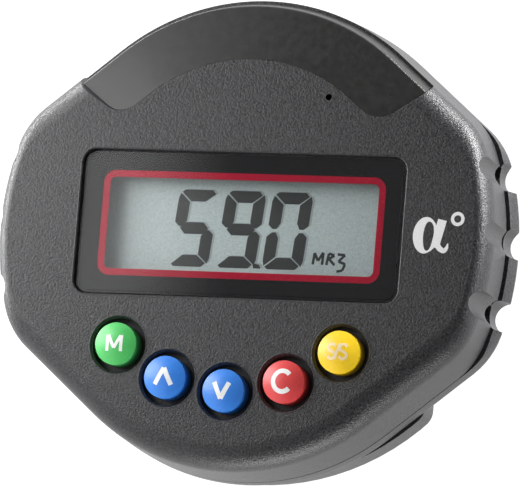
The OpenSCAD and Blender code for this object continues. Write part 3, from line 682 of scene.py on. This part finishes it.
class GAUGE_OT_readout(bpy.types.Operator):
    """The number in the display, three leaning digits of seven segments, with a small memory sign"""

    bl_idname = "gauge.readout"
    bl_label = "Readout"

    def execute(self, context):
        sizes = context.scene.gauge_sizes
        colours = context.scene.gauge_colours
        shapes = digit_segments(sizes.digit_width, sizes.digit_height, sizes.segment)
        lean = np.array([[1, 0], [math.tan(sizes.slant), 1]])
        middle = MIDDLE + np.array(NUMBER_AT) * MM
        outlines = []
        for place, figure in enumerate(NUMBER):
            at = middle + np.array([(place - 1) * sizes.digit_pitch, 0])
            outlines += [shapes[letter] @ lean + at for letter in SEGMENTS[figure]]
        outlines.append(MIDDLE + np.array(POINT) * MM)
        digits = [plate(outline, READOUT_Z - INK, READOUT_Z + INK) for outline in outlines]
        pairs = [np.array(pair) * MM for line in MEMORY_SIGN for pair in zip(line, line[1:])]
        glass = flat_ground(READOUT_Z)
        sign = [stroke(straight(*(MIDDLE + pair), 3), SIGN_LINE, glass, INK) for pair in pairs]
        # Twisted crystal: dark grey, not black, because the ground shines through it.
        dark = moulded(
            "dark_crystal", colours.segment,
            grain=0.25 * MM, depth=0.001 * MM, rough=0.4, vary=0.06, mirror=0.3)
        paint(fill_mesh("readout", *joined(digits + sign)), dark, "case", "lcd")
        low = READOUT_Z - INK
        shade = [plate(outline + SHADE_SHIFT, low, READOUT_Z + INK / 4) for outline in outlines]
        # The segments' own shadow on the ground behind the crystal: a little darker than the ground.
        faint = moulded(
            "readout_shadow", linear("#7f8786"),
            grain=0.25 * MM, depth=0.001 * MM, rough=0.4, vary=0.05)
        paint(fill_mesh("readout_shade", *joined(shade)), faint, "case", "lcd")
        return {"FINISHED"}


class GAUGE_OT_keys(bpy.types.Operator):
    """Five coloured caps, round about their axes, on black silicone plungers"""

    bl_idname = "gauge.keys"
    bl_label = "Keys"

    def execute(self, context):
        colours = context.scene.gauge_colours
        # Moulded silicone: black, dull and slightly waxy.
        silicone = moulded(
            "black_silicone", linear("#17171a"),
            grain=0.2 * MM, depth=0.004 * MM, rough=0.6)
        for name in KEY_NAMES:
            # ABS caps in a satin tool: strong even colour with a soft broad highlight.
            satin = moulded(
                name + "_satin_abs", getattr(colours, name),
                grain=0.25 * MM, depth=0.003 * MM, rough=0.36, vary=0.05)
            cap = finished_copy(name + "_cap", name + "_button", angle=40)
            paint(cap, satin, name + "_key", KEY_SLOTS[name], name + "_cap")
            paint_nodes(silicone, name + "_plunger")
        paint_nodes(silicone, "keypad_mat", "cap_seal")
        # Gold plate over copper: warm, bright and finely brushed.
        gold = metal(
            "gold_plate", linear("#caa64a"),
            rough=0.3, scratch=0.05 * MM, depth=0.001 * MM)
        paint_nodes(gold, "key_contacts")
        return {"FINISHED"}


# Radius of the dome of a cap
CROWN = 7 * MM
# The lines of the key legends, in millimetres from the middle of the cap
LETTER_S = bezier([
    [0.62, 0.8], [0.05, 1.15], [-0.56, 0.75], [-0.36, 0.18],
    [0.36, -0.18], [0.56, -0.75], [-0.05, -1.15], [-0.62, -0.8]])
LETTER_C = oval((0, 0), (1.45, 1.6), np.linspace(math.radians(42), math.radians(318), 33))
LEGENDS = {
    "memory": [
        straight((-1.1, -1.25), (-1.1, 1.25)), straight((-1.0, 1.2), (0, -0.75)),
        straight((0, -0.75), (1.0, 1.2)), straight((1.1, 1.25), (1.1, -1.25))],
    "up": [straight((-1.3, -1.25), (0, 1.35)), straight((0, 1.35), (1.3, -1.25))],
    "down": [straight((-1.3, 1.15), (-0.1, -1.35)), straight((-0.1, -1.35), (1.1, 1.15))],
    "clear": [LETTER_C],
    "start": [straight((-0.4, -1.25), (0.4, 1.25)), LETTER_S + (-0.92, 0), LETTER_S + (0.92, 0)],
}
# Legends that are drawn with a thinner line, as parts of the usual one
LEGEND_THIN = {"memory": 0.68, "start": 0.6}
# Each line of a legend lies this part of the ink above the one before, so that crossings stay clean
INK_STEP = 0.05


class GAUGE_OT_legends(bpy.types.Operator):
    """Printed signs on the caps: lines of ink that follow the dome"""

    bl_idname = "gauge.legends"
    bl_label = "Key legends"

    def execute(self, context):
        line = context.scene.gauge_sizes.legend
        # Pad print: a thin, matt film, white or on the yellow cap pale.
        white = moulded(
            "white_pad_print", linear("#f6f7f5"),
            grain=0.2 * MM, depth=0.002 * MM, rough=0.5, vary=0.03)
        pale = moulded(
            "pale_pad_print", linear("#fbe3b4"),
            grain=0.2 * MM, depth=0.002 * MM, rough=0.5, vary=0.03)
        for name in KEY_NAMES:
            middle, dome = dome_of(name)
            width = line * LEGEND_THIN.get(name, 1)
            inks = [stroke(path * MM + middle, width, dome, INK * (1 + INK_STEP * k))
                    for k, path in enumerate(LEGENDS[name])]
            legend = fill_mesh(name + "_legend", *joined(inks))
            paint(legend, pale if name == "start" else white, name + "_key", "white_film")
        return {"FINISHED"}


# The angle sign, in millimetres on the face: middles and half sizes of its ovals, and its lines
BOWL_OUTER = ((29.95, 0.24), (2.0, 2.7))
BOWL_INNER = ((30.4, 0.16), (0.82, 2.32))
BOWL_SWELL = 0.1
BOWL_LEAN = 0.12
STEM = [[32.45, 2.72], [32.12, 1.1], [31.85, -0.1], [31.62, -1.2], [31.5, -1.6]]
STEM_WIDTHS = (1.42, 1.3)
HOOK = [[31.85, -1.0], [32.25, -1.65], [32.95, -2.05], [33.4, -1.65], [33.58, -0.9]]
HOOK_PLACES = (0, 0.3, 0.55, 0.8, 1)
HOOK_WIDTHS = (0.9, 0.85, 0.75, 0.5, 0.12)
DEGREE_RING = ((34.85, 2.93), (0.82, 0.84))
RING_LINE = 0.52
SIGN_STEPS = 48


class GAUGE_OT_sign(bpy.types.Operator):
    """The printed angle sign beside the window, an alpha with a degree ring"""

    bl_idname = "gauge.sign"
    bl_label = "Angle sign"

    def execute(self, context):
        face = flat_ground(FACE)
        turn = full_turn(SIGN_STEPS)
        outer = oval(*BOWL_OUTER, turn)
        inner = oval(*BOWL_INNER, turn)
        inner[:, 0] += np.sin(turn) * (BOWL_SWELL * np.cos(turn) + BOWL_LEAN)
        wall = np.linalg.norm(outer - inner, axis=1)
        bowl = stroke((outer + inner) / 2 * MM, wall * MM, face, INK, closed=True)
        path = bezier(STEM)
        stem = stroke(path * MM, np.linspace(*STEM_WIDTHS, len(path)) * MM, face, INK * 1.1)
        path = bezier(HOOK)
        widths = np.interp(np.linspace(0, 1, len(path)), HOOK_PLACES, HOOK_WIDTHS)
        hook = stroke(path * MM, widths * MM, face, INK * 1.2)
        ring = stroke(oval(*DEGREE_RING, turn) * MM, RING_LINE * MM, face, INK, closed=True)
        # Pad print on the grained face: white, matt and even.
        white = moulded(
            "white_face_print", linear("#f6f6f6"),
            grain=0.2 * MM, depth=0.003 * MM, rough=0.5, vary=0.04)
        paint(fill_mesh("angle_sign", *joined([bowl, stem, hook, ring])), white, "case", "white_film")
        return {"FINISHED"}


class GAUGE_OT_inside(bpy.types.Operator):
    """Finishes of the board and its parts"""

    bl_idname = "gauge.inside"
    bl_label = "Inside"

    def execute(self, context):
        # Solder mask over glass cloth: green, glossy, with the weave just showing.
        mask = moulded(
            "solder_mask", linear("#1f5c3a"),
            grain=0.5 * MM, depth=0.004 * MM, rough=0.3)
        paint_nodes(mask, "main_board")
        # Moulded epoxy of the packages: black and dull.
        chip = moulded(
            "moulded_epoxy", linear("#1c1c1e"),
            grain=0.1 * MM, depth=0.004 * MM, rough=0.6)
        paint_nodes(chip, "microcontroller", "gyro_sensor", "sounder")
        # Fired ceramic of the small parts: tan, with a slight shine.
        ceramic = moulded(
            "fired_ceramic", linear("#b39a6b"),
            grain=0.2 * MM, depth=0.002 * MM, rough=0.45)
        paint_nodes(ceramic, "board_components")
        return {"FINISHED"}


class GAUGE_OT_back(bpy.types.Operator):
    """Screws, magnets, cell, contacts and battery cap"""

    bl_idname = "gauge.back"
    bl_label = "Back"

    def execute(self, context):
        # Zinc plate on steel: grey, with a soft broken shine.
        zinc = metal(
            "zinc_plated_steel", linear("#9a9c9e"),
            rough=0.38, scratch=0.08 * MM, depth=0.003 * MM)
        paint_nodes(zinc, "board_screws", "case_screws")
        # Nickel plate: bright and slightly warm.
        nickel = metal(
            "nickel_plate", linear("#b9bcc0"),
            rough=0.2, scratch=0.06 * MM, depth=0.001 * MM)
        paint_nodes(nickel, "magnets", "coin_cell")
        # Tinned spring bronze: pale yellow, with lines from rolling.
        bronze = metal(
            "tinned_bronze", linear("#c4b27a"),
            rough=0.3, scratch=0.06 * MM, depth=0.001 * MM)
        paint_nodes(bronze, "positive_contact", "negative_contact")
        # ABS like the case's, in a finer and duller grain.
        grain = context.scene.gauge_sizes.grain
        black = moulded(
            "black_abs", linear("#2b2b2d"),
            grain=grain, depth=0.015 * MM, rough=0.5, vary=0.18)
        door = finished_copy("battery_cap", "cell_door")
        paint(door, black, "battery_door", "cap_plastic", "battery_cap")
        return {"FINISHED"}


# Stage

# The view fitted to the photograph: turns about x, y and z, the point that it was set by with its pixel,
# pixels to a millimetre, and the middle of the frame in pixels
VIEW_TURN = [math.radians(a) for a in (-10.1558, -16.9317, -4.8178)]
VIEW_POINT = Vector((0, -2.1, 20.5)) * MM
VIEW_PIXEL = (237.276, 244.344)
VIEW_SCALE = 6.5
FRAME_MIDDLE = (260, 244.5)
# The lens shows 80 mm across, the width of the frame, at the camera's distance
VIEW_DISTANCE = 1000 * MM
SENSOR = 36
LENS = 450
NEAREST = 0.05
# Each lamp's place, its aim and its two sizes, in metres
LAMPS = {
    "key": ((-0.125, 0.035, 0.092), (-0.01, 0, 0.01), 0.09, 0.14),
    "side": ((0.16, 0.13, 0.011), (0.03, 0, 0.01), 0.2, 0.015),
    "front": ((0.03, -0.23, 0.008), (0, 0, 0.006), 0.2, 0.014),
    "rim": ((-0.17, 0.07, 0.011), (-0.03, 0, 0.01), 0.25, 0.015),
    "back": ((0.05, -0.05, -0.3), (0, 0, 0), 0.2, 0.2),
}
# The floor: half its width, its depth under the foot and its grey
FLOOR_HALF = 2.0
FLOOR_DROP = 0.2 * MM
FLOOR_GREY = 0.25
# The card over the gauge: its level and edges, where it fades from left to right, and its glow there
CARD_LEVEL = 0.36
CARD_LEFT = -0.5
CARD_RIGHT = 1.4
CARD_NEAR = -1.5
CARD_FAR = 0.4
CARD_FADE = (-0.14, -0.11)
CARD_GLOW = (1.25, 0.2)


def add_lamp(name, place, aim, power, width, height):
    """A soft area lamp that looks from its place to its aim."""
    data = bpy.data.lights.new(name, "AREA")
    data.shape = "RECTANGLE"
    data.size = width
    data.size_y = height
    data.energy = power
    made = bpy.data.objects.new(name, data)
    made.location = place
    made.rotation_euler = (Vector(aim) - Vector(place)).to_track_quat("-Z", "Y").to_euler()
    bpy.context.scene.collection.objects.link(made)


def four_corners(name, corners, level):
    """A flat panel through four corners at one level. It faces up if they run counterclockwise."""
    return fill_mesh(name, np.column_stack([corners, np.full(4, level)]), np.arange(4), [4])


def seen_ray(tree):
    """A socket that is 1 for rays that see the background: from the camera, a mirror or glass."""
    rays = node(tree, "ShaderNodeLightPath")
    both = node(tree, "ShaderNodeMath", {
        0: rays.outputs["Is Camera Ray"], 1: rays.outputs["Is Glossy Ray"]}, operation="MAXIMUM")
    every = node(tree, "ShaderNodeMath", {
        0: both.outputs[0], 1: rays.outputs["Is Transmission Ray"]}, operation="MAXIMUM")
    return every.outputs[0]


class GAUGE_OT_stage(bpy.types.Operator):
    """Pale floor, white room, grey card, lamps and the camera at the photograph's angle"""

    bl_idname = "gauge.stage"
    bl_label = "Stage"

    def execute(self, context):
        scene = context.scene
        light = scene.gauge_light
        scene.view_settings.view_transform = "Standard"
        self.add_floor()
        self.add_room(scene, light.surround)
        self.add_card()
        for name, (place, aim, width, height) in LAMPS.items():
            add_lamp(name + "_lamp", place, aim, getattr(light, name), width, height)
        self.add_camera(scene)
        return {"FINISHED"}

    def add_floor(self):
        """A wide pale floor under the foot, clear from below, so that the back can be seen too."""
        half = FLOOR_HALF
        corners = [[-half, -half], [half, -half], [half, half], [-half, half]]
        floor = four_corners("floor", corners, -FLOOR_DROP)
        # Matt paper that glows white where it is seen, and is grey where it only throws light back.
        material, tree, out = start_material("white_paper")
        glow = node(tree, "ShaderNodeEmission", {"Strength": seen_ray(tree)})
        matt = node(tree, "ShaderNodeBsdfDiffuse", {"Color": (FLOOR_GREY, FLOOR_GREY, FLOOR_GREY, 1)})
        both = node(tree, "ShaderNodeAddShader", {0: glow.outputs["Emission"], 1: matt.outputs["BSDF"]})
        side = node(tree, "ShaderNodeNewGeometry")
        clear = node(tree, "ShaderNodeBsdfTransparent")
        paper = node(tree, "ShaderNodeMixShader", {
            0: side.outputs["Backfacing"], 1: both.outputs["Shader"], 2: clear.outputs["BSDF"]})
        tree.links.new(paper.outputs["Shader"], out.inputs["Surface"])
        floor.visible_shadow = False
        floor.data.materials.append(material)

    def add_card(self):
        """A grey card over the gauge, out of the camera's sight, that keeps the white room off the face.

        Its left part glows and fades to the right, as the edge of a diffuser does.
        """
        corners = [
            [CARD_LEFT, CARD_NEAR], [CARD_LEFT, CARD_FAR],
            [CARD_RIGHT, CARD_FAR], [CARD_RIGHT, CARD_NEAR]]
        flag = four_corners("flag", corners, CARD_LEVEL)
        flag.visible_camera = False
        flag.visible_shadow = False
        # Card with a sheet of diffuser beside it: white at the left, dim grey over the gauge.
        material, tree, out = start_material("grey_card")
        where = node(tree, "ShaderNodeTexCoord")
        axes = node(tree, "ShaderNodeSeparateXYZ", {"Vector": where.outputs["Object"]})
        fade = node(tree, "ShaderNodeMapRange", {
            "Value": axes.outputs["X"], "From Min": CARD_FADE[0], "From Max": CARD_FADE[1],
            "To Min": CARD_GLOW[0], "To Max": CARD_GLOW[1]}, interpolation_type="SMOOTHSTEP")
        glow = node(tree, "ShaderNodeEmission", {"Strength": fade.outputs["Result"]})
        tree.links.new(glow.outputs["Emission"], out.inputs["Surface"])
        flag.data.materials.append(material)

    def add_room(self, scene, strength):
        """A white room: full white where it is seen, and a plain level where it lights."""
        world = bpy.data.worlds.new("white_room")
        world.use_nodes = True
        tree = world.node_tree
        tree.nodes.clear()
        level = node(tree, "ShaderNodeMapRange", {
            "Value": seen_ray(tree), "To Min": strength, "To Max": 1.0})
        sky = node(tree, "ShaderNodeBackground", {
            "Color": (1, 1, 1, 1), "Strength": level.outputs["Result"]})
        out = node(tree, "ShaderNodeOutputWorld")
        tree.links.new(sky.outputs["Background"], out.inputs["Surface"])
        scene.world = world

    def add_camera(self, scene):
        """The camera: turned as fitted, and moved across so that the view point falls on its pixel."""
        tilt, swing, roll = [Matrix.Rotation(a, 3, axis) for a, axis in zip(VIEW_TURN, "XYZ")]
        turn = tilt @ swing @ roll
        across = (FRAME_MIDDLE[0] - VIEW_PIXEL[0]) / VIEW_SCALE * MM
        down = (FRAME_MIDDLE[1] - VIEW_PIXEL[1]) / VIEW_SCALE * MM
        data = bpy.data.cameras.new("view")
        data.sensor_width = SENSOR
        data.lens = LENS
        data.clip_start = NEAREST
        camera = bpy.data.objects.new("view", data)
        place = VIEW_POINT + turn.transposed() @ Vector((across, -down, VIEW_DISTANCE))
        camera.matrix_world = Matrix.Translation(place) @ turn.transposed().to_4x4()
        scene.collection.objects.link(camera)
        scene.camera = camera


# Panel, registration and the run

OPERATORS = (
    GAUGE_OT_shells, GAUGE_OT_signal_window, GAUGE_OT_display, GAUGE_OT_readout, GAUGE_OT_keys,
    GAUGE_OT_legends, GAUGE_OT_sign, GAUGE_OT_inside, GAUGE_OT_back, GAUGE_OT_stage)


class GAUGE_PT_panel(bpy.types.Panel):
    """Lists the gauge's pieces and settings"""

    bl_idname = "GAUGE_PT_panel"
    bl_label = "Torque Angle Gauge"
    bl_space_type = "VIEW_3D"
    bl_region_type = "UI"
    bl_category = "Gauge"

    def draw(self, context):
        for operator in OPERATORS:
            self.layout.operator(operator.bl_idname)
        scene = context.scene
        for group in (scene.gauge_colours, scene.gauge_sizes, scene.gauge_light):
            box = self.layout.box()
            for name in group.__annotations__:
                box.prop(group, name)


GROUPS = {"gauge_colours": GaugeColours, "gauge_sizes": GaugeSizes, "gauge_light": GaugeLight}
CLASSES = (*GROUPS.values(), *OPERATORS, GAUGE_PT_panel)


def register():
    for cls in CLASSES:
        bpy.utils.register_class(cls)
    for name, group in GROUPS.items():
        setattr(bpy.types.Scene, name, bpy.props.PointerProperty(type=group))


def unregister():
    for name in GROUPS:
        delattr(bpy.types.Scene, name)
    for cls in reversed(CLASSES):
        bpy.utils.unregister_class(cls)


def main():
    register()
    for operator in OPERATORS:
        group, name = operator.bl_idname.split(".")
        getattr(getattr(bpy.ops, group), name)()


if __name__ == "__main__":
    main()
